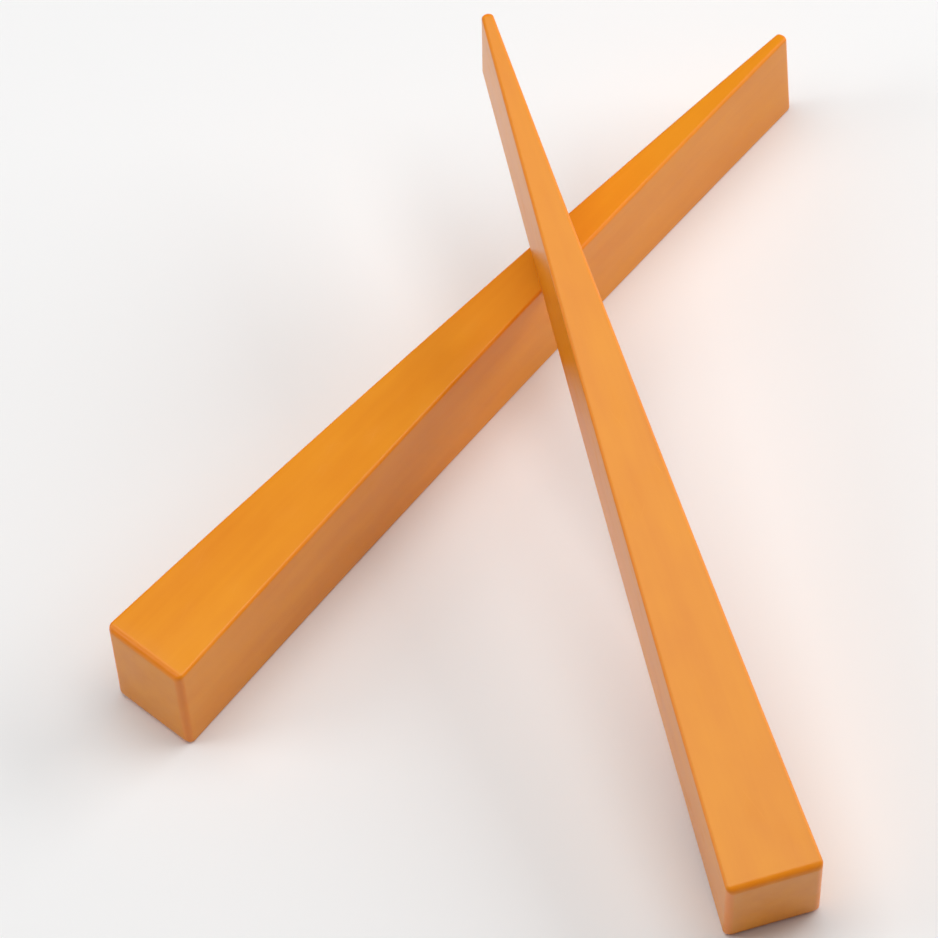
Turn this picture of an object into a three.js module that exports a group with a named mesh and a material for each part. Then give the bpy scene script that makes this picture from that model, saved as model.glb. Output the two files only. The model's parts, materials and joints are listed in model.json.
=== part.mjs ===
// A pair of long orange wedge-shaped sticks, crossed: the lower one lies flat on the ground and
// the upper one stands on the bottom edge of its thick end and leans across the lower one.
// Millimetres, +Z up, +X along the lower stick from its thick end to its thin end.
// The origin is the middle of the lower stick's underside.

import * as THREE from 'three';

// Driving dimensions of one stick. Both sticks are the same, but for the amount they bow.
const LENGTH = 305;
const THICK_END_WIDTH = 31.2;
const THIN_END_WIDTH = 3.8;
const HEIGHT = 39.6;
const LONG_EDGE_RADIUS = 1.1;
const THICK_END_RADIUS = 2.6;
const THIN_END_RADIUS = 1.8;

// How far the middle of each stick stands out to its left, seen from its thick end.
const LOWER_BOW = 1.6;
const UPPER_BOW = 0.8;

// How the upper stick lies on the lower one: where the middle of its thick end stands on the
// ground, and the angle between the two sticks seen from above.
const UPPER_FOOT = new THREE.Vector2(-82.9, -194.8);
const CROSSING_ANGLE = THREE.MathUtils.degToRad(58.1);
const RESTING_GAP = 0.3;

const ARC_STEPS = 5;
const BOW_STEPS = 4;
const HALVINGS = 40;
const SMALLEST_LEAN = THREE.MathUtils.degToRad(2);
const LARGEST_LEAN = THREE.MathUtils.degToRad(30);

const ORANGE = new THREE.Color(0xf09a33);

// Half the stick's width at a distance x from the thick end.
function halfWidthAt(x) {
  return THREE.MathUtils.lerp(THICK_END_WIDTH, THIN_END_WIDTH, x / LENGTH) / 2;
}

// How far a bowed stick's middle line stands out to the left at a distance x from the thick end.
function bowAt(x, bow) {
  const share = x / LENGTH;
  return 4 * bow * share * (1 - share);
}

// The cross-sections along a stick: its two rounded ends and the steps of its bow between them.
// Each is a distance from the thick end, with the amount by which a round-over draws it in.
function stations() {
  const thickEnd = [];
  const thinEnd = [];
  for (let step = 0; step <= ARC_STEPS; step += 1) {
    const turn = (step / ARC_STEPS) * Math.PI / 2;
    const near = 1 - Math.cos(turn);
    const inset = 1 - Math.sin(turn);
    thickEnd.push({ x: THICK_END_RADIUS * near, inset: THICK_END_RADIUS * inset });
    thinEnd.unshift({ x: LENGTH - THIN_END_RADIUS * near, inset: THIN_END_RADIUS * inset });
  }
  const between = [];
  for (let step = 1; step < BOW_STEPS; step += 1) {
    const start = THICK_END_RADIUS;
    const end = LENGTH - THIN_END_RADIUS;
    between.push({ x: THREE.MathUtils.lerp(start, end, step / BOW_STEPS), inset: 0 });
  }
  return [...thickEnd, ...between, ...thinEnd];
}

// One cross-section: a rectangle with rounded corners, counter-clockwise seen from the thin end.
function sectionRing({ x, inset }, bow) {
  const halfWidth = halfWidthAt(x) - inset;
  const radius = Math.min(LONG_EDGE_RADIUS, 0.9 * halfWidth);
  const sideways = halfWidth - radius;
  const upright = HEIGHT / 2 - inset - radius;
  const ring = [];
  for (let corner = 0; corner < 4; corner += 1) {
    const start = corner * Math.PI / 2;
    const middle = start + Math.PI / 4;
    for (let step = 0; step <= ARC_STEPS; step += 1) {
      const turn = start + (step / ARC_STEPS) * Math.PI / 2;
      ring.push(
        x,
        bowAt(x, bow) + Math.sign(Math.cos(middle)) * sideways + radius * Math.cos(turn),
        HEIGHT / 2 + Math.sign(Math.sin(middle)) * upright + radius * Math.sin(turn),
      );
    }
  }
  return ring;
}

// One solid stick: its thick end's face lies on x = 0 and its underside on z = 0.
function stickGeometry(bow) {
  const rings = stations().map((station) => sectionRing(station, bow));
  const around = rings[0].length / 3;
  const triangles = [];
  for (let ring = 0; ring + 1 < rings.length; ring += 1) {
    for (let point = 0; point < around; point += 1) {
      const here = ring * around + point;
      const beside = ring * around + (point + 1) % around;
      triangles.push(here, beside, beside + around);
      triangles.push(here, beside + around, here + around);
    }
  }
  const lastRing = (rings.length - 1) * around;
  for (let point = 1; point + 1 < around; point += 1) {
    triangles.push(0, point + 1, point);
    triangles.push(lastRing, lastRing + point, lastRing + point + 1);
  }
  const geometry = new THREE.BufferGeometry();
  geometry.setAttribute('position', new THREE.Float32BufferAttribute(rings.flat(), 3));
  geometry.setIndex(triangles);
  geometry.computeVertexNormals();
  return geometry;
}

// A named stick with a material of its own.
function stick(name, bow) {
  const material = new THREE.MeshStandardMaterial({
    color: ORANGE,
    roughness: 0.38,
    metalness: 0,
    flatShading: true,
  });
  const mesh = new THREE.Mesh(stickGeometry(bow), material);
  mesh.name = name;
  return mesh;
}

// A point on the centre line of the round-over on a long edge, at a distance x from the thick end.
// side is +1 for the left of the stick seen from its thick end, and -1 for the right.
function edgePoint(x, side, height, bow) {
  const out = side * (halfWidthAt(x) - LONG_EDGE_RADIUS);
  return new THREE.Vector3(x, bowAt(x, bow) + out, height);
}

// The number between low and high where isBelow stops being true.
function bisect(low, high, isBelow) {
  let lower = low;
  let upper = high;
  for (let halving = 0; halving < HALVINGS; halving += 1) {
    const middle = (lower + upper) / 2;
    if (isBelow(middle)) {
      lower = middle;
    } else {
      upper = middle;
    }
  }
  return upper;
}

// The lower stick lies with the middle of its underside on the origin.
function lowerPlacement() {
  return new THREE.Matrix4().makeTranslation(-LENGTH / 2, 0, 0);
}

// Places the upper stick for a given lean. The rounded bottom edge of its thick end is what
// stands on the ground, so the stick turns about the centre line of that round-over.
function upperPlacement(lean) {
  const heading = new THREE.Matrix4().makeRotationZ(CROSSING_ANGLE);
  const leaning = new THREE.Matrix4().makeRotationY(-lean);
  const toPivot = new THREE.Matrix4().makeTranslation(-THICK_END_RADIUS, 0, -THICK_END_RADIUS);
  return new THREE.Matrix4()
    .makeTranslation(UPPER_FOOT.x, UPPER_FOOT.y, THICK_END_RADIUS)
    .multiply(heading)
    .multiply(leaning)
    .multiply(toPivot);
}

// How far the upper stick's lower left edge stands above the lower stick's upper right edge,
// measured between the centre lines of the two round-overs where they cross seen from above.
function edgeClearance(lean) {
  const placement = upperPlacement(lean);
  const above = (x) => edgePoint(x, 1, LONG_EDGE_RADIUS, UPPER_BOW).applyMatrix4(placement);
  const below = (x) => {
    const point = edgePoint(x, -1, HEIGHT - LONG_EDGE_RADIUS, LOWER_BOW);
    return point.applyMatrix4(lowerPlacement());
  };
  const isShort = (x) => above(x).y < below(above(x).x + LENGTH / 2).y;
  const aboveX = bisect(0, LENGTH, isShort);
  const crossing = above(aboveX);
  const belowX = crossing.x + LENGTH / 2;
  const aboveRun = above(aboveX + 1).sub(crossing);
  const belowRun = below(belowX + 1).sub(below(belowX));
  const across = belowRun.cross(aboveRun).normalize();
  return crossing.sub(below(belowX)).dot(across) * Math.sign(across.z);
}

// The lean at which the upper stick comes to rest on the lower one.
function restingLean() {
  const touching = 2 * LONG_EDGE_RADIUS + RESTING_GAP;
  return bisect(SMALLEST_LEAN, LARGEST_LEAN, (lean) => edgeClearance(lean) < touching);
}

const lowerStick = stick('lower_stick', LOWER_BOW);
lowerStick.applyMatrix4(lowerPlacement());

const upperStick = stick('upper_stick', UPPER_BOW);
upperStick.applyMatrix4(upperPlacement(restingLean()));

const group = new THREE.Group();
group.add(lowerStick, upperStick);

export default group;
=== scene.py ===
"""Looks of a crossed pair of orange wedge sticks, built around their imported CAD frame.

Metres, +Z up, in the frame of the CAD model: +X runs along the lower stick from its thick end to
its thin end, and the origin is the middle of the lower stick's underside.
"""

import json
import logging
import math
from dataclasses import dataclass
from enum import Enum

import bpy
from mathutils import Matrix, Vector


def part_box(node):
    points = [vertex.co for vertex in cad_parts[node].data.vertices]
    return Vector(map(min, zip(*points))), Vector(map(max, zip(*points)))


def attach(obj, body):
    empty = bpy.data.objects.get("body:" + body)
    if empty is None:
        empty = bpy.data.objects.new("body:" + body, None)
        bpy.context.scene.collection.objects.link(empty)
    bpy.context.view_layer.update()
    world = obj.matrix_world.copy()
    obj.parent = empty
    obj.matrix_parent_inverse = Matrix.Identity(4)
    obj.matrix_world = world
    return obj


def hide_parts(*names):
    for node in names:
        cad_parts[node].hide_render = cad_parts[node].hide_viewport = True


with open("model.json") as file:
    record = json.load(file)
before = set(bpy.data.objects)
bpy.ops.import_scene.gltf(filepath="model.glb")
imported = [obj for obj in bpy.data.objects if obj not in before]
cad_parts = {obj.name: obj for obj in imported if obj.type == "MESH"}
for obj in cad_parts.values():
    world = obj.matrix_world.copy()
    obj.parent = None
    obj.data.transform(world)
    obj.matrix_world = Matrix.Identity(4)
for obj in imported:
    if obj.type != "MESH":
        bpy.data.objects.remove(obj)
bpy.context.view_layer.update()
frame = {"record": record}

MM = 0.001
LOG = logging.getLogger("wedge_sticks")
STICK_SPACE = "stick_space"
EDGE_ROUND = "edge_round"
NOISE_MIDDLE = 0.5


class Body(Enum):
    """The CAD bodies that the sticks ride on."""

    LOWER = "lower"
    UPPER = "upper"


class Operation(Enum):
    """The sums that a node tree can be asked for, by the names of the Math node."""

    ADD = "ADD"
    SUBTRACT = "SUBTRACT"
    MULTIPLY = "MULTIPLY"
    DIVIDE = "DIVIDE"
    MINIMUM = "MINIMUM"
    MAXIMUM = "MAXIMUM"
    ABSOLUTE = "ABSOLUTE"
    SIGN = "SIGN"
    SINE = "SINE"
    COSINE = "COSINE"
    TANGENT = "TANGENT"
    SQUARE_ROOT = "SQRT"
    GREATER = "GREATER_THAN"


@dataclass(frozen=True)
class Term:
    """A number worked out by a node tree, which takes part in sums as a plain number does."""

    tree: bpy.types.NodeTree
    socket: bpy.types.NodeSocket

    def sum(self, operation: Operation, *others: "Term | float") -> "Term":
        """Adds one Math node to the tree.

        Args:
            operation: What the node does.
            others: The terms or numbers that follow this one.

        Returns:
            The node's result.
        """
        node = self.tree.nodes.new("ShaderNodeMath")
        node.operation = operation.value
        for place, term in enumerate((self, *others)):
            if isinstance(term, Term):
                self.tree.links.new(term.socket, node.inputs[place])
            else:
                node.inputs[place].default_value = term
        return Term(self.tree, node.outputs["Value"])

    def plain(self, number: float) -> "Term":
        """Returns a plain number as a term of the same tree."""
        node = self.tree.nodes.new("ShaderNodeValue")
        node.outputs["Value"].default_value = number
        return Term(self.tree, node.outputs["Value"])

    def __add__(self, other: "Term | float") -> "Term":
        """Returns this term plus another."""
        return self.sum(Operation.ADD, other)

    def __radd__(self, other: float) -> "Term":
        """Returns a number plus this term."""
        return self.sum(Operation.ADD, other)

    def __sub__(self, other: "Term | float") -> "Term":
        """Returns this term less another."""
        return self.sum(Operation.SUBTRACT, other)

    def __rsub__(self, other: float) -> "Term":
        """Returns a number less this term."""
        return self.plain(other).sum(Operation.SUBTRACT, self)

    def __mul__(self, other: "Term | float") -> "Term":
        """Returns this term times another."""
        return self.sum(Operation.MULTIPLY, other)

    def __truediv__(self, other: "Term | float") -> "Term":
        """Returns this term divided by another, and 0 where that is 0."""
        return self.sum(Operation.DIVIDE, other)

    def at_most(self, other: "Term | float") -> "Term":
        """Returns the smaller of this term and another."""
        return self.sum(Operation.MINIMUM, other)

    def at_least(self, other: "Term | float") -> "Term":
        """Returns the larger of this term and another."""
        return self.sum(Operation.MAXIMUM, other)

    def over(self, other: "Term | float") -> "Term":
        """Returns 1 where this term is greater than another, and 0 elsewhere."""
        return self.sum(Operation.GREATER, other)

    def size(self) -> "Term":
        """Returns the term without its sign."""
        return self.sum(Operation.ABSOLUTE)

    def sign(self) -> "Term":
        """Returns -1, 0 or 1."""
        return self.sum(Operation.SIGN)

    def sine(self) -> "Term":
        """Returns the sine of an angle in radians."""
        return self.sum(Operation.SINE)

    def cosine(self) -> "Term":
        """Returns the cosine of an angle in radians."""
        return self.sum(Operation.COSINE)

    def tangent(self) -> "Term":
        """Returns the tangent of an angle in radians."""
        return self.sum(Operation.TANGENT)

    def root(self) -> "Term":
        """Returns the square root."""
        return self.sum(Operation.SQUARE_ROOT)


@dataclass(frozen=True)
class StickSize:
    """The driving dimensions of one stick. Both sticks are the same, but for their bow."""

    length: float
    height: float
    thick_end_width: float = 31.2 * MM
    thin_end_width: float = 3.8 * MM
    long_edge_radius: float = 1.1 * MM
    thick_end_radius: float = 2.6 * MM
    thin_end_radius: float = 1.8 * MM

    @staticmethod
    def of_node(node: str) -> "StickSize":
        """Measures the stick's length and height on its CAD node, which lies along X.

        Args:
            node: The name of a CAD node.

        Returns:
            The size, with the widths and radii that the CAD model has.
        """
        low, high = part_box(node)
        return StickSize(length=high.x - low.x, height=high.z - low.z)


@dataclass(frozen=True)
class MeshDetail:
    """How finely a stick's surface is divided."""

    along: int = 60
    across: int = 8
    upright: int = 8
    long_edge_steps: int = 5
    end_steps: int = 12
    support_share: float = 0.03

    def vertices(self, middle: int, steps: int) -> int:
        """Counts the vertices along one side of the block.

        Args:
            middle: Steps in the flat stretch between the two round-overs.
            steps: Steps in the round-over at each end of the side.

        Returns:
            The number of vertices, which is odd so that one lies in the middle.
        """
        return middle + 2 * steps + 1


class StickTree:
    """The Geometry Nodes tree that makes one solid wedge stick with rounded edges.

    A block of unit size is divided evenly, and each vertex is then set by formula. The stick's
    thick end lies on x = 0 and its underside on z = 0.
    """

    INPUTS: tuple[tuple[str, str], ...] = (
        ("Length", "NodeSocketFloat"),
        ("Height", "NodeSocketFloat"),
        ("Thick End Width", "NodeSocketFloat"),
        ("Thin End Width", "NodeSocketFloat"),
        ("Long Edge Radius", "NodeSocketFloat"),
        ("Thick End Radius", "NodeSocketFloat"),
        ("Thin End Radius", "NodeSocketFloat"),
        ("Bow", "NodeSocketFloat"),
        ("Vertices Along", "NodeSocketInt"),
        ("Vertices Across", "NodeSocketInt"),
        ("Vertices Upright", "NodeSocketInt"),
        ("Long Edge Steps", "NodeSocketInt"),
        ("End Steps", "NodeSocketInt"),
        ("Support Share", "NodeSocketFloat"),
        ("Material", "NodeSocketMaterial"),
    )
    LARGEST_EDGE_SHARE = 0.9

    def __init__(self) -> None:
        """Builds the tree."""
        self.tree = bpy.data.node_groups.new("rounded_wedge_stick", "GeometryNodeTree")
        for name, kind in self.INPUTS:
            self.tree.interface.new_socket(name, in_out="INPUT", socket_type=kind)
        self.tree.interface.new_socket(
            "Stick", in_out="OUTPUT", socket_type="NodeSocketGeometry"
        )
        self.inlet = self.tree.nodes.new("NodeGroupInput")
        self._build()

    def given(self, name: str) -> Term:
        """Returns one of the tree's inputs as a term."""
        return Term(self.tree, self.inlet.outputs[name])

    def _node(self, kind: str) -> bpy.types.Node:
        """Returns a new node of that kind."""
        return self.tree.nodes.new(kind)

    def _turn_and_run(self, side: Term, count: Term, steps: Term) -> tuple[Term, Term]:
        """Finds how far a vertex is round its edge and how far out along the flat stretch.

        Args:
            side: The vertex's place on the unit block, from -1 to 1.
            count: The number of vertices along that side.
            steps: The steps in each round-over.

        Returns:
            The share of the round-over passed, from 0 to 1, and the share of the flat stretch
            passed from its middle, also from 0 to 1.
        """
        half = (count - 1.0) * 0.5
        from_end = (1.0 - side.size()) * half
        turned = (1.0 - from_end / steps).at_least(0.0)
        share = self.given("Support Share")
        support = 1.0 - (from_end - steps) * share
        spread = (1.0 - share) * (1.0 - (from_end - steps - 1.0) / (half - steps - 1.0))
        return turned, support.at_most(spread).at_most(1.0)

    def _build(self) -> None:
        """Writes the formula as nodes and joins them up."""
        tree, link = self.tree, self.tree.links.new
        block = self._node("GeometryNodeMeshCube")
        block.inputs["Size"].default_value = (2.0, 2.0, 2.0)
        for socket, name in (
            ("Vertices X", "Vertices Along"),
            ("Vertices Y", "Vertices Across"),
            ("Vertices Z", "Vertices Upright"),
        ):
            link(self.given(name).socket, block.inputs[socket])
        place = self._node("GeometryNodeInputPosition")
        split = self._node("ShaderNodeSeparateXYZ")
        link(place.outputs["Position"], split.inputs["Vector"])
        along, across, upright = (Term(tree, split.outputs[axis]) for axis in "XYZ")

        inset, from_thick_end, end_turn = self._stations(along)
        half_width = self._half_width(from_thick_end) - inset
        half_height = self.given("Height") * 0.5 - inset
        edge = self.given("Long Edge Radius").at_most(half_width * self.LARGEST_EDGE_SHARE)
        out, up, edge_turn = self._section(across, upright, half_width, half_height, edge)

        join = self._node("ShaderNodeCombineXYZ")
        link(from_thick_end.socket, join.inputs["X"])
        link((out + self._bow(from_thick_end)).socket, join.inputs["Y"])
        link((up + self.given("Height") * 0.5).socket, join.inputs["Z"])
        mover = self._node("GeometryNodeSetPosition")
        link(block.outputs["Mesh"], mover.inputs["Geometry"])
        link(join.outputs["Vector"], mover.inputs["Position"])

        rounding = self._store(
            block.outputs["Mesh"],
            EDGE_ROUND,
            "FLOAT",
            self._roundness(end_turn, edge_turn).socket,
        )
        link(rounding, mover.inputs["Geometry"])
        where = self._node("GeometryNodeInputPosition")
        kept = self._store(
            mover.outputs["Geometry"], STICK_SPACE, "FLOAT_VECTOR", where.outputs["Position"]
        )
        smooth = self._node("GeometryNodeSetShadeSmooth")
        link(kept, smooth.inputs["Geometry"])
        real = self._node("GeometryNodeRealizeInstances")
        link(smooth.outputs["Geometry"], real.inputs["Geometry"])
        dressed = self._node("GeometryNodeSetMaterial")
        link(real.outputs["Geometry"], dressed.inputs["Geometry"])
        link(self.given("Material").socket, dressed.inputs["Material"])
        outlet = self._node("NodeGroupOutput")
        link(dressed.outputs["Geometry"], outlet.inputs["Stick"])

    @staticmethod
    def _roundness(end_turn: Term, edge_turn: Term) -> Term:
        """Finds how much a vertex belongs to a rounded edge, for the finish to wear it there and
        to paint shade on it.

        Args:
            end_turn: The share of an end's round-over passed.
            edge_turn: The share of a long edge's round-over passed.

        Returns:
            1 in the middle of a round-over and 0 on the flat faces.
        """
        around_end = end_turn * 4.0 * (1.0 - end_turn)
        return around_end.at_least(edge_turn * (1.0 - end_turn))

    def _store(
        self,
        geometry: bpy.types.NodeSocket,
        name: str,
        kind: str,
        value: bpy.types.NodeSocket,
    ) -> bpy.types.NodeSocket:
        """Keeps a value on each vertex under a name, and returns the geometry that holds it."""
        node = self._node("GeometryNodeStoreNamedAttribute")
        node.data_type = kind
        node.domain = "POINT"
        node.inputs["Name"].default_value = name
        self.tree.links.new(geometry, node.inputs["Geometry"])
        self.tree.links.new(value, node.inputs["Value"])
        return node.outputs["Geometry"]

    def _stations(self, along: Term) -> tuple[Term, Term, Term]:
        """Places the vertices along the stick.

        Args:
            along: The vertex's place along the unit block, from -1 to 1.

        Returns:
            How far the nearer end's round-over draws the section in, the distance from the
            thick end, and the share of the round-over passed.
        """
        thick, thin = self.given("Thick End Radius"), self.given("Thin End Radius")
        turned, run = self._turn_and_run(
            along, self.given("Vertices Along"), self.given("End Steps")
        )
        radius = thick + (thin - thick) * along.over(0.0)
        angle = turned * (math.pi / 2)
        inset = radius * (1.0 - angle.cosine())
        length = self.given("Length")
        middle = (length + thick - thin) * 0.5
        reach = (length - thick - thin) * 0.5
        from_thick_end = middle + along.sign() * (reach * run + radius * angle.sine())
        return inset, from_thick_end, turned

    def _bow(self, from_thick_end: Term) -> Term:
        """Returns how far the stick's middle line stands out to its left."""
        share = from_thick_end / self.given("Length")
        return self.given("Bow") * 4.0 * share * (1.0 - share)

    def _half_width(self, from_thick_end: Term) -> Term:
        """Returns half the stick's width at a distance from its thick end."""
        thick, thin = self.given("Thick End Width"), self.given("Thin End Width")
        return (thick + (thin - thick) * (from_thick_end / self.given("Length"))) * 0.5

    def _section(
        self, across: Term, upright: Term, half_width: Term, half_height: Term, edge: Term
    ) -> tuple[Term, Term, Term]:
        """Places the vertices of one cross-section, a rectangle with rounded corners.

        The vertices inside an end face are those of its outline, drawn in towards the middle.

        Args:
            across: The vertex's place across the unit block, from -1 to 1.
            upright: The vertex's place up the unit block, from -1 to 1.
            half_width: Half the section's width.
            half_height: Half the section's height.
            edge: The radius of its corners.

        Returns:
            The place across, the place above the middle, and the share of the corner passed.
        """
        steps = self.given("Long Edge Steps")
        reach = across.size().at_least(upright.size())
        turns, cores = [], []
        for side, name, half in (
            (across / reach, "Vertices Across", half_width),
            (upright / reach, "Vertices Upright", half_height),
        ):
            turned, run = self._turn_and_run(side, self.given(name), steps)
            turns.append((turned.at_most(1.0) * (math.pi / 4)).tangent())
            cores.append((half - edge) * run)
        far = (turns[0] * turns[0] + turns[1] * turns[1]).root()
        out, up = (
            side.sign() * (core + edge * (turn / far)) * reach
            for side, core, turn in zip((across, upright), cores, turns)
        )
        return out, up, turns[0].at_most(turns[1])

    def grow(
        self, size: StickSize, bow: float, detail: MeshDetail, dress: bpy.types.Material
    ) -> bpy.types.Mesh:
        """Runs the tree once and takes its result as a plain mesh.

        Args:
            size: The stick's dimensions.
            bow: How far its middle stands out to its left.
            detail: How finely to divide it.
            dress: The material that it gets.

        Returns:
            A mesh that no modifier or tree holds on to.
        """
        values = {
            "Length": size.length,
            "Height": size.height,
            "Thick End Width": size.thick_end_width,
            "Thin End Width": size.thin_end_width,
            "Long Edge Radius": size.long_edge_radius,
            "Thick End Radius": size.thick_end_radius,
            "Thin End Radius": size.thin_end_radius,
            "Bow": bow,
            "Vertices Along": detail.vertices(detail.along, detail.end_steps),
            "Vertices Across": detail.vertices(detail.across, detail.long_edge_steps),
            "Vertices Upright": detail.vertices(detail.upright, detail.long_edge_steps),
            "Long Edge Steps": detail.long_edge_steps,
            "End Steps": detail.end_steps,
            "Support Share": detail.support_share,
            "Material": dress,
        }
        holder = bpy.data.objects.new("stick_holder", bpy.data.meshes.new("stick_holder"))
        bpy.context.scene.collection.objects.link(holder)
        modifier = holder.modifiers.new("stick", "NODES")
        modifier.node_group = self.tree
        for item in self.tree.interface.items_tree:
            if item.item_type == "SOCKET" and item.in_out == "INPUT":
                modifier[item.identifier] = values[item.name]
        graph = bpy.context.evaluated_depsgraph_get()
        mesh = bpy.data.meshes.new_from_object(holder.evaluated_get(graph))
        holder.modifiers.remove(modifier)
        bpy.data.objects.remove(holder)
        return mesh


class Effect:
    """A shader node group that a finish places in its own node tree."""

    NAME: str
    INPUTS: tuple[tuple[str, str], ...]
    OUTPUTS: tuple[str, ...]

    def __init__(self) -> None:
        """Builds the group with its named sockets."""
        self.tree = bpy.data.node_groups.new(self.NAME, "ShaderNodeTree")
        for name, kind in self.INPUTS:
            self.tree.interface.new_socket(name, in_out="INPUT", socket_type=kind)
        for name in self.OUTPUTS:
            self.tree.interface.new_socket(name, in_out="OUTPUT", socket_type="NodeSocketFloat")
        self.inlet = self.tree.nodes.new("NodeGroupInput")
        outlet = self.tree.nodes.new("NodeGroupOutput")
        for name, term in zip(self.OUTPUTS, self._results()):
            self.tree.links.new(term.socket, outlet.inputs[name])

    def _results(self) -> tuple[Term, ...]:
        """Works out the group's outputs, in the order of OUTPUTS."""
        raise NotImplementedError

    def given(self, name: str) -> Term:
        """Returns one of the group's inputs as a term."""
        return Term(self.tree, self.inlet.outputs[name])

    def _stretched(self, along: Term, across: Term, lean: float = 0.0) -> bpy.types.NodeSocket:
        """Measures the place on the stick in lengths along it and widths across it.

        Args:
            along: The length that counts as one, along the stick.
            across: The width that counts as one, across it and up it.
            lean: How far the pattern slants to the left for each metre along.

        Returns:
            The measured place.
        """
        split = self.tree.nodes.new("ShaderNodeSeparateXYZ")
        self.tree.links.new(self.given("Place").socket, split.inputs["Vector"])
        x, y, z = (Term(self.tree, split.outputs[axis]) for axis in "XYZ")
        join = self.tree.nodes.new("ShaderNodeCombineXYZ")
        for axis, term in zip("XYZ", (x / along, (y - x * lean) / across, z / across)):
            self.tree.links.new(term.socket, join.inputs[axis])
        return join.outputs["Vector"]

    def _noise(
        self, place: bpy.types.NodeSocket, shift: float, detail: float, roughness: float = 0.5
    ) -> Term:
        """Adds soft noise that the group's seed moves.

        Args:
            place: The measured place.
            shift: A number that sets this noise apart from the group's other noises.
            detail: How many finer layers it has.
            roughness: How strong the finer layers are.

        Returns:
            A value that strays from 0 to 1 and is mostly near 0.5.
        """
        node = self.tree.nodes.new("ShaderNodeTexNoise")
        node.noise_dimensions = "4D"
        node.inputs["Scale"].default_value = 1.0
        node.inputs["Detail"].default_value = detail
        node.inputs["Roughness"].default_value = roughness
        self.tree.links.new(place, node.inputs["Vector"])
        self.tree.links.new((self.given("Seed") + shift).socket, node.inputs["W"])
        return Term(self.tree, node.outputs["Fac"])


class FlowMarks(Effect):
    """The faint marks that molten plastic leaves as it runs along a mould and cools."""

    NAME = "flow_marks"
    INPUTS = (
        ("Place", "NodeSocketVector"),
        ("Seed", "NodeSocketFloat"),
        ("Streak Length", "NodeSocketFloat"),
        ("Streak Width", "NodeSocketFloat"),
        ("Cloud Size", "NodeSocketFloat"),
    )
    OUTPUTS = ("Streaks", "Clouds", "Sink")
    SLANT = 0.07
    CLOUD_STRETCH = 2.2
    SINK_STRETCH = 3.0
    SINK_WIDTH = 1.3
    FINE_STREAK_LENGTH = 0.6
    FINE_STREAK_WIDTH = 0.2
    LONG_STREAK_STRENGTH = 1.5
    FINE_STREAK_STRENGTH = 0.5
    CLOUD_STRENGTH = 2.0
    LONG_STREAK_SHIFT = 3.1
    FINE_STREAK_SHIFT = 8.7
    CLOUD_SHIFT = 15.3
    SINK_SHIFT = 21.9

    def _results(self) -> tuple[Term, ...]:
        """Works out the streaks, the clouds and the wide, shallow sinks, each about 0."""
        length, width = self.given("Streak Length"), self.given("Streak Width")
        cloud = self.given("Cloud Size")
        wide_place = self._stretched(length, width, self.SLANT)
        fine_place = self._stretched(
            length * self.FINE_STREAK_LENGTH, width * self.FINE_STREAK_WIDTH
        )
        cloud_place = self._stretched(cloud * self.CLOUD_STRETCH, cloud, self.SLANT)
        sink_place = self._stretched(cloud * self.SINK_STRETCH, cloud * self.SINK_WIDTH)
        long_streaks = self._noise(wide_place, self.LONG_STREAK_SHIFT, 2.0) - NOISE_MIDDLE
        fine_streaks = self._noise(fine_place, self.FINE_STREAK_SHIFT, 1.0) - NOISE_MIDDLE
        clouds = self._noise(cloud_place, self.CLOUD_SHIFT, 3.0) - NOISE_MIDDLE
        sink = self._noise(sink_place, self.SINK_SHIFT, 0.0) - NOISE_MIDDLE
        streaks = (
            long_streaks * self.LONG_STREAK_STRENGTH + fine_streaks * self.FINE_STREAK_STRENGTH
        )
        return streaks, clouds * self.CLOUD_STRENGTH, sink


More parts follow.
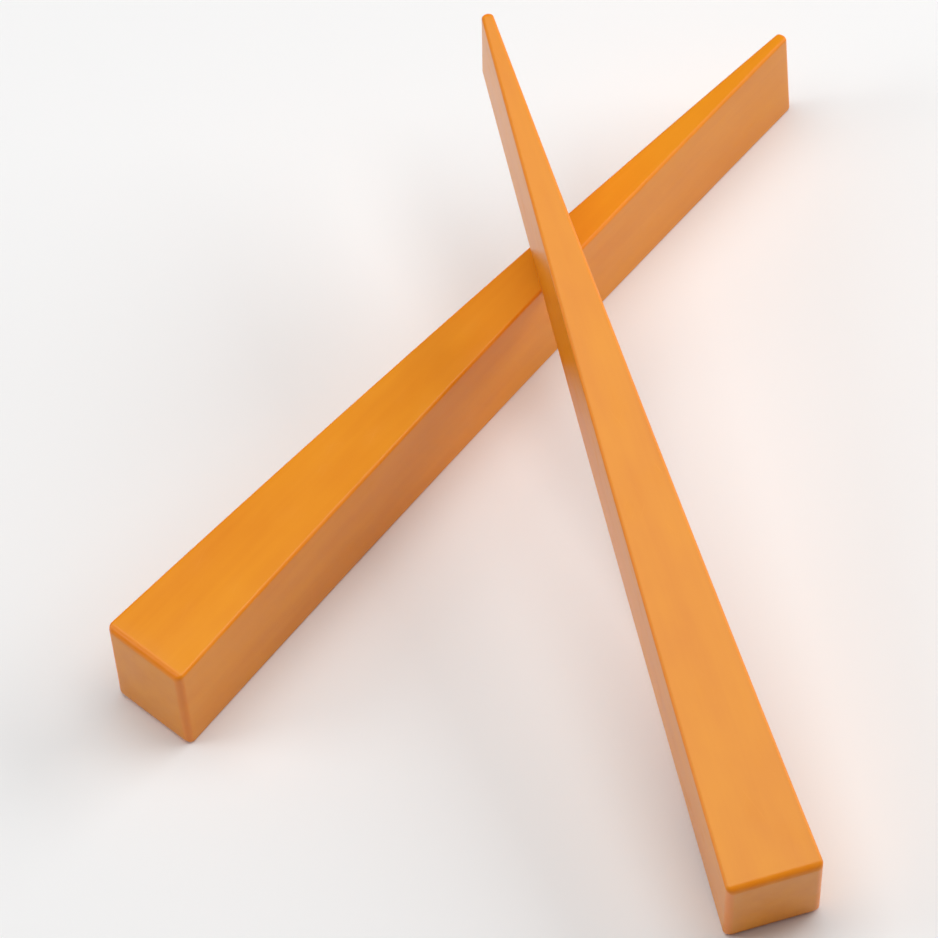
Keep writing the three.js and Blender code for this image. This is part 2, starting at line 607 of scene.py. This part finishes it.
class HandledSkin(Effect):
    """The fine skin of a moulded part, with the rub of hands and the ground on it."""

    NAME = "handled_skin"
    INPUTS = (
        ("Place", "NodeSocketVector"),
        ("Edge", "NodeSocketFloat"),
        ("Seed", "NodeSocketFloat"),
        ("Grain Size", "NodeSocketFloat"),
        ("Rub Size", "NodeSocketFloat"),
        ("Scratch Length", "NodeSocketFloat"),
    )
    OUTPUTS = ("Grain", "Edge Rub", "Scuffs", "Scratches")
    SCRATCH_NARROWNESS = 45.0
    SCRATCH_RARITY = 0.69
    SCRATCH_SHARPNESS = 12.0
    SCRATCH_SLANT = 0.35
    CROSSING_SLANT = -0.6
    CROSSING_LENGTH = 0.7
    RUB_STRETCH = 2.0
    RUB_START = 0.42
    RUB_SHARPNESS = 5.0
    SCUFF_START = 0.56
    SCUFF_SHARPNESS = 6.0
    FINE_LAYER_ROUGHNESS = 0.6
    GRAIN_SHIFT = 4.4
    RUB_SHIFT = 9.2
    SCRATCH_SHIFT = 27.5
    CROSSING_SHIFT = 33.8

    def _results(self) -> tuple[Term, ...]:
        """Works out the grain about 0, and the edge rub, scuffs and scratches from 0 to 1."""
        grain_size, rub_size = self.given("Grain Size"), self.given("Rub Size")
        length = self.given("Scratch Length")
        rough = self.FINE_LAYER_ROUGHNESS
        grain_place = self._stretched(grain_size, grain_size)
        rub_place = self._stretched(rub_size * self.RUB_STRETCH, rub_size)
        grain = self._noise(grain_place, self.GRAIN_SHIFT, 2.0, rough) - NOISE_MIDDLE
        rub = self._noise(rub_place, self.RUB_SHIFT, 3.0, rough)
        worn = self.given("Edge") * self._past(rub, self.RUB_START, self.RUB_SHARPNESS)
        scuffs = self._past(rub, self.SCUFF_START, self.SCUFF_SHARPNESS)
        hair = length / self.SCRATCH_NARROWNESS
        scratch_place = self._stretched(length, hair, self.SCRATCH_SLANT)
        crossing_place = self._stretched(
            length * self.CROSSING_LENGTH, hair, self.CROSSING_SLANT
        )
        scratch = self._noise(scratch_place, self.SCRATCH_SHIFT, 0.0)
        crossing = self._noise(crossing_place, self.CROSSING_SHIFT, 0.0)
        deepest = scratch.at_least(crossing)
        scratches = self._past(deepest, self.SCRATCH_RARITY, self.SCRATCH_SHARPNESS)
        return grain, worn, scuffs, scratches * scuffs

    @staticmethod
    def _past(value: Term, start: float, sharpness: float) -> Term:
        """Returns 0 up to a start, then rises to 1 as steeply as the sharpness says."""
        return ((value - start) * sharpness).at_least(0.0).at_most(1.0)


@dataclass(frozen=True)
class Effects:
    """The shader groups that the finishes share."""

    flow: FlowMarks
    skin: HandledSkin


@dataclass(frozen=True)
class SatinOrange:
    """Moulded plastic, orange all through, with a satin skin."""

    name: str
    seed: float
    colour: tuple[float, float, float] = (0.84, 0.296, 0.006)
    deep_colour: tuple[float, float, float] = (0.76, 0.232, 0.003)
    # A deeper, redder orange for the rounded edges: painted shade standing in for the band the
    # round-overs show where they turn away from the lamps.
    painted_edge_shade_colour: tuple[float, float, float] = (0.92, 0.235, 0.006)
    rubbed_colour: tuple[float, float, float] = (0.90, 0.36, 0.05)
    roughness: float = 0.3
    gloss: float = 0.33
    streak_length: float = 150.0 * MM
    streak_width: float = 7.0 * MM
    cloud_size: float = 14.0 * MM
    grain_size: float = 0.9 * MM
    rub_size: float = 6.0 * MM
    scratch_length: float = 22.0 * MM
    grain_depth: float = 0.004 * MM
    sink_depth: float = 0.25 * MM
    scratch_depth: float = 0.006 * MM
    deep_share: float = 0.32
    cloud_tint: float = 0.8
    streak_tint: float = 0.6
    # How strongly the painted edge shade shows in the middle of a round-over.
    painted_edge_shade_tint: float = 0.75
    rub_tint: float = 0.16
    scratch_tint: float = 0.25
    cloud_dulling: float = 0.03
    scuff_dulling: float = 0.06
    rub_dulling: float = 0.08
    scratch_dulling: float = 0.12

    def build(self, effects: Effects) -> bpy.types.Material:
        """Returns the finish as a material mixed from the shared effects."""
        material = bpy.data.materials.new(self.name)
        material.use_nodes = True
        tree = material.node_tree
        shader = tree.nodes["Principled BSDF"]
        place = self._attribute(tree, STICK_SPACE, "Vector")
        edge = self._attribute(tree, EDGE_ROUND, "Fac")
        flow = self._effect(tree, effects.flow, {"Place": place})
        skin = self._effect(tree, effects.skin, {"Place": place, "Edge": edge})

        tint = flow["Clouds"] * self.cloud_tint
        deep = self.deep_share - tint - flow["Streaks"] * self.streak_tint
        deep = deep.at_least(0.0).at_most(1.0)
        body = self._mix(tree, deep, self.colour, self.deep_colour)
        # Painted shade: the rounded edges are tinted a deeper, redder orange, as the round-overs
        # look where they face away from the lamps.
        edge_shade_share = Term(tree, edge) * self.painted_edge_shade_tint
        edge_shaded_body = self._mix(tree, edge_shade_share, body, self.painted_edge_shade_colour)
        rubbed = skin["Edge Rub"] * self.rub_tint + skin["Scratches"] * self.scratch_tint
        rubbed = rubbed.at_most(1.0)
        worn = self._mix(tree, rubbed, edge_shaded_body, self.rubbed_colour)
        tree.links.new(worn, shader.inputs["Base Color"])

        roughness = (
            self.roughness
            + flow["Clouds"] * self.cloud_dulling
            + skin["Scuffs"] * self.scuff_dulling
            + skin["Edge Rub"] * self.rub_dulling
            + skin["Scratches"] * self.scratch_dulling
        )
        tree.links.new(roughness.socket, shader.inputs["Roughness"])
        shader.inputs["Specular IOR Level"].default_value = self.gloss

        relief = (
            skin["Grain"] * self.grain_depth
            + flow["Sink"] * self.sink_depth
            - skin["Scratches"] * self.scratch_depth
        )
        bump = tree.nodes.new("ShaderNodeBump")
        bump.inputs["Distance"].default_value = 1.0
        tree.links.new(relief.socket, bump.inputs["Height"])
        tree.links.new(bump.outputs["Normal"], shader.inputs["Normal"])
        return material

    @staticmethod
    def _attribute(tree: bpy.types.NodeTree, name: str, output: str) -> bpy.types.NodeSocket:
        """Returns a value that the stick's mesh holds under a name."""
        node = tree.nodes.new("ShaderNodeAttribute")
        node.attribute_name = name
        return node.outputs[output]

    def _effect(
        self, tree: bpy.types.NodeTree, effect: Effect, read: dict[str, bpy.types.NodeSocket]
    ) -> dict[str, Term]:
        """Places a shared effect in the finish.

        Args:
            tree: The finish's node tree.
            effect: The shared effect.
            read: What the mesh gives to the effect's inputs. The finish sets the rest.

        Returns:
            The effect's outputs by name.
        """
        node = tree.nodes.new("ShaderNodeGroup")
        node.node_tree = effect.tree
        for name, _ in effect.INPUTS:
            if name in read:
                tree.links.new(read[name], node.inputs[name])
            else:
                node.inputs[name].default_value = getattr(self, name.lower().replace(" ", "_"))
        return {name: Term(tree, node.outputs[name]) for name in effect.OUTPUTS}

    @staticmethod
    def _mix(
        tree: bpy.types.NodeTree,
        share: Term,
        first: bpy.types.NodeSocket | tuple[float, float, float],
        second: tuple[float, float, float],
    ) -> bpy.types.NodeSocket:
        """Blends a second colour into a first by a share that changes over the surface.

        Args:
            tree: The finish's node tree.
            share: How much of the second colour shows.
            first: A colour, or the result of an earlier blend.
            second: The colour that is blended in.

        Returns:
            The blended colour.
        """
        node = tree.nodes.new("ShaderNodeMix")
        node.data_type = "RGBA"
        factor, under, over = (node.inputs[place] for place in (0, 6, 7))
        tree.links.new(share.socket, factor)
        if isinstance(first, tuple):
            under.default_value = (*first, 1.0)
        else:
            tree.links.new(first, under)
        over.default_value = (*second, 1.0)
        return node.outputs[2]


@dataclass(frozen=True)
class Placement:
    """Where a stick lies: its thick end's face and the two directions that fix it."""

    thick_end: Vector
    heading: Vector
    up: Vector

    @staticmethod
    def from_mounts(end_mount: str, up_mount: str, up_sign: float) -> "Placement":
        """Reads a stick's place from the flat faces that the record states.

        Args:
            end_mount: The mount on the face of the thick end.
            up_mount: The mount on the stick's top or underside.
            up_sign: 1 for a mount on the top, and -1 for one on the underside.

        Returns:
            The stick's place.
        """
        mounts = {mount["name"]: mount for mount in frame["record"]["mounts"]}
        return Placement(
            thick_end=Vector(mounts[end_mount]["pos_m"]),
            heading=-Vector(mounts[end_mount]["axis"]).normalized(),
            up=Vector(mounts[up_mount]["axis"]).normalized() * up_sign,
        )

    def matrix(self, size: StickSize) -> Matrix:
        """Returns the move from the tree's own space to the stick's place."""
        left = self.up.cross(self.heading)
        start = self.thick_end - self.up * (size.height / 2)
        turn = Matrix((self.heading, left, self.up)).transposed()
        return Matrix.Translation(start) @ turn.to_4x4()


@dataclass
class WedgeStick:
    """One solid stick."""

    name: str
    node: str
    slot: str
    body: Body
    place: Placement
    size: StickSize
    bow: float
    finish: SatinOrange
    detail: MeshDetail

    def build(self, tree: StickTree, effects: Effects) -> bpy.types.Object:
        """Makes the stick in its place and hands it to the frame.

        Args:
            tree: The tree that makes its mesh.
            effects: The shader groups that its finish is mixed from.

        Returns:
            The finished piece.
        """
        mesh = tree.grow(self.size, self.bow, self.detail, self.finish.build(effects))
        mesh.name = self.name
        mesh.transform(self.place.matrix(self.size))
        piece = bpy.data.objects.new(self.name, mesh)
        bpy.context.scene.collection.objects.link(piece)
        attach(piece, self.body.value)
        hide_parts(self.node)
        LOG.info("%s: %d faces, rides on %s", self.name, len(mesh.polygons), self.body.value)
        return piece


@dataclass(frozen=True)
class SoftBox:
    """A flat, evenly lit lamp."""

    name: str
    place: tuple[float, float, float]
    aim: tuple[float, float, float]
    width: float
    depth: float
    watts: float

    def build(self) -> bpy.types.Object:
        """Returns the lamp, turned towards what it lights."""
        lamp = bpy.data.lights.new(self.name, "AREA")
        lamp.shape = "RECTANGLE"
        lamp.size = self.width
        lamp.size_y = self.depth
        lamp.energy = self.watts
        holder = bpy.data.objects.new(self.name, lamp)
        holder.location = self.place
        facing = Vector(self.aim) - Vector(self.place)
        holder.rotation_euler = facing.to_track_quat("-Z", "Y").to_euler()
        holder.visible_camera = False
        bpy.context.scene.collection.objects.link(holder)
        return holder


@dataclass(frozen=True)
class Studio:
    """The pale floor, the lamps and the dim room around them."""

    floor_side: float = 14.0
    floor_drop: float = 0.1 * MM
    floor_colour: float = 0.9
    floor_roughness: float = 0.8
    room_grey: float = 0.15

    def build(self) -> None:
        """Makes the floor, the lamps and the room's own light."""
        half = self.floor_side / 2
        corners = [(-half, -half), (half, -half), (half, half), (-half, half)]
        mesh = bpy.data.meshes.new("floor")
        mesh.from_pydata([(x, y, -self.floor_drop) for x, y in corners], [], [(0, 1, 2, 3)])
        paint = bpy.data.materials.new("pale_floor")
        paint.use_nodes = True
        shader = paint.node_tree.nodes["Principled BSDF"]
        shader.inputs["Base Color"].default_value = (*(self.floor_colour,) * 3, 1.0)
        shader.inputs["Roughness"].default_value = self.floor_roughness
        mesh.materials.append(paint)
        floor = bpy.data.objects.new("floor", mesh)
        bpy.context.scene.collection.objects.link(floor)
        for lamp in self.lamps():
            lamp.build()
        world = bpy.data.worlds.new("room")
        world.use_nodes = True
        world.node_tree.nodes["Background"].inputs["Color"].default_value = (
            *(self.room_grey,) * 3,
            1.0,
        )
        bpy.context.scene.world = world

    @staticmethod
    def lamps() -> tuple[SoftBox, ...]:
        """Returns the lamps of the studio."""
        return (
            SoftBox("overhead", (0.06, 0.06, 1.4), (0.0, 0.0, 0.0), 1.5, 1.0, 13.6),
            SoftBox("right_fill", (1.65, -0.85, 1.0), (0.0, 0.0, 0.0), 1.7, 1.3, 24.0),
            SoftBox("back_left", (-0.95, 0.85, 0.8), (0.0, 0.0, 0.03), 0.6, 0.75, 4.8),
        )


@dataclass(frozen=True)
class Viewpoint:
    """A camera that looks at the pair from above its thick ends."""

    eye: tuple[float, float, float] = (-0.96513, -1.02878, 2.13707)
    azimuth: float = -132.972
    elevation: float = 57.018
    roll: float = -6.261
    lens: float = 307.0
    sensor_width: float = 36.0
    farthest_seen: float = 50.0

    def build(self) -> None:
        """Makes the camera and sets it as the scene's own."""
        azimuth, elevation = math.radians(self.azimuth), math.radians(self.elevation)
        back = Vector(
            (
                math.cos(elevation) * math.cos(azimuth),
                math.cos(elevation) * math.sin(azimuth),
                math.sin(elevation),
            )
        )
        level = Vector((0.0, 0.0, 1.0)).cross(back).normalized()
        turn = Matrix((level, back.cross(level), back)).transposed()
        tilt = Matrix.Rotation(math.radians(self.roll), 3, "Z")
        data = bpy.data.cameras.new("viewpoint")
        data.lens = self.lens
        data.sensor_width = self.sensor_width
        data.clip_end = self.farthest_seen
        camera = bpy.data.objects.new("viewpoint", data)
        camera.matrix_world = Matrix.Translation(self.eye) @ (turn @ tilt).to_4x4()
        bpy.context.scene.collection.objects.link(camera)
        bpy.context.scene.camera = camera


def build_sticks() -> list[bpy.types.Object]:
    """Makes both sticks.

    Returns:
        The finished pieces, the lower one first.
    """
    tree = StickTree()
    size = StickSize.of_node("lower_stick")
    detail = MeshDetail()
    effects = Effects(FlowMarks(), HandledSkin())
    sticks = (
        WedgeStick(
            name="lower_stick_body",
            node="lower_stick",
            slot="lower_stick_orange",
            body=Body.LOWER,
            place=Placement.from_mounts("lower_thick_end", "lower_underside", -1.0),
            size=size,
            bow=1.6 * MM,
            finish=SatinOrange("lower_stick_orange", seed=2.0),
            detail=detail,
        ),
        WedgeStick(
            name="upper_stick_body",
            node="upper_stick",
            slot="upper_stick_orange",
            body=Body.UPPER,
            place=Placement.from_mounts("upper_thick_end", "upper_top", 1.0),
            size=size,
            bow=0.8 * MM,
            finish=SatinOrange("upper_stick_orange", seed=5.0),
            detail=detail,
        ),
    )
    return [stick.build(tree, effects) for stick in sticks]


def main() -> None:
    """Builds the whole scene in order."""
    logging.basicConfig(level=logging.INFO, format="%(name)s: %(message)s")
    Viewpoint().build()
    Studio().build()
    bpy.context.scene.view_settings.view_transform = "Standard"
    pieces = build_sticks()
    LOG.info("%d pieces made", len(pieces))


if __name__ == "__main__":
    main()
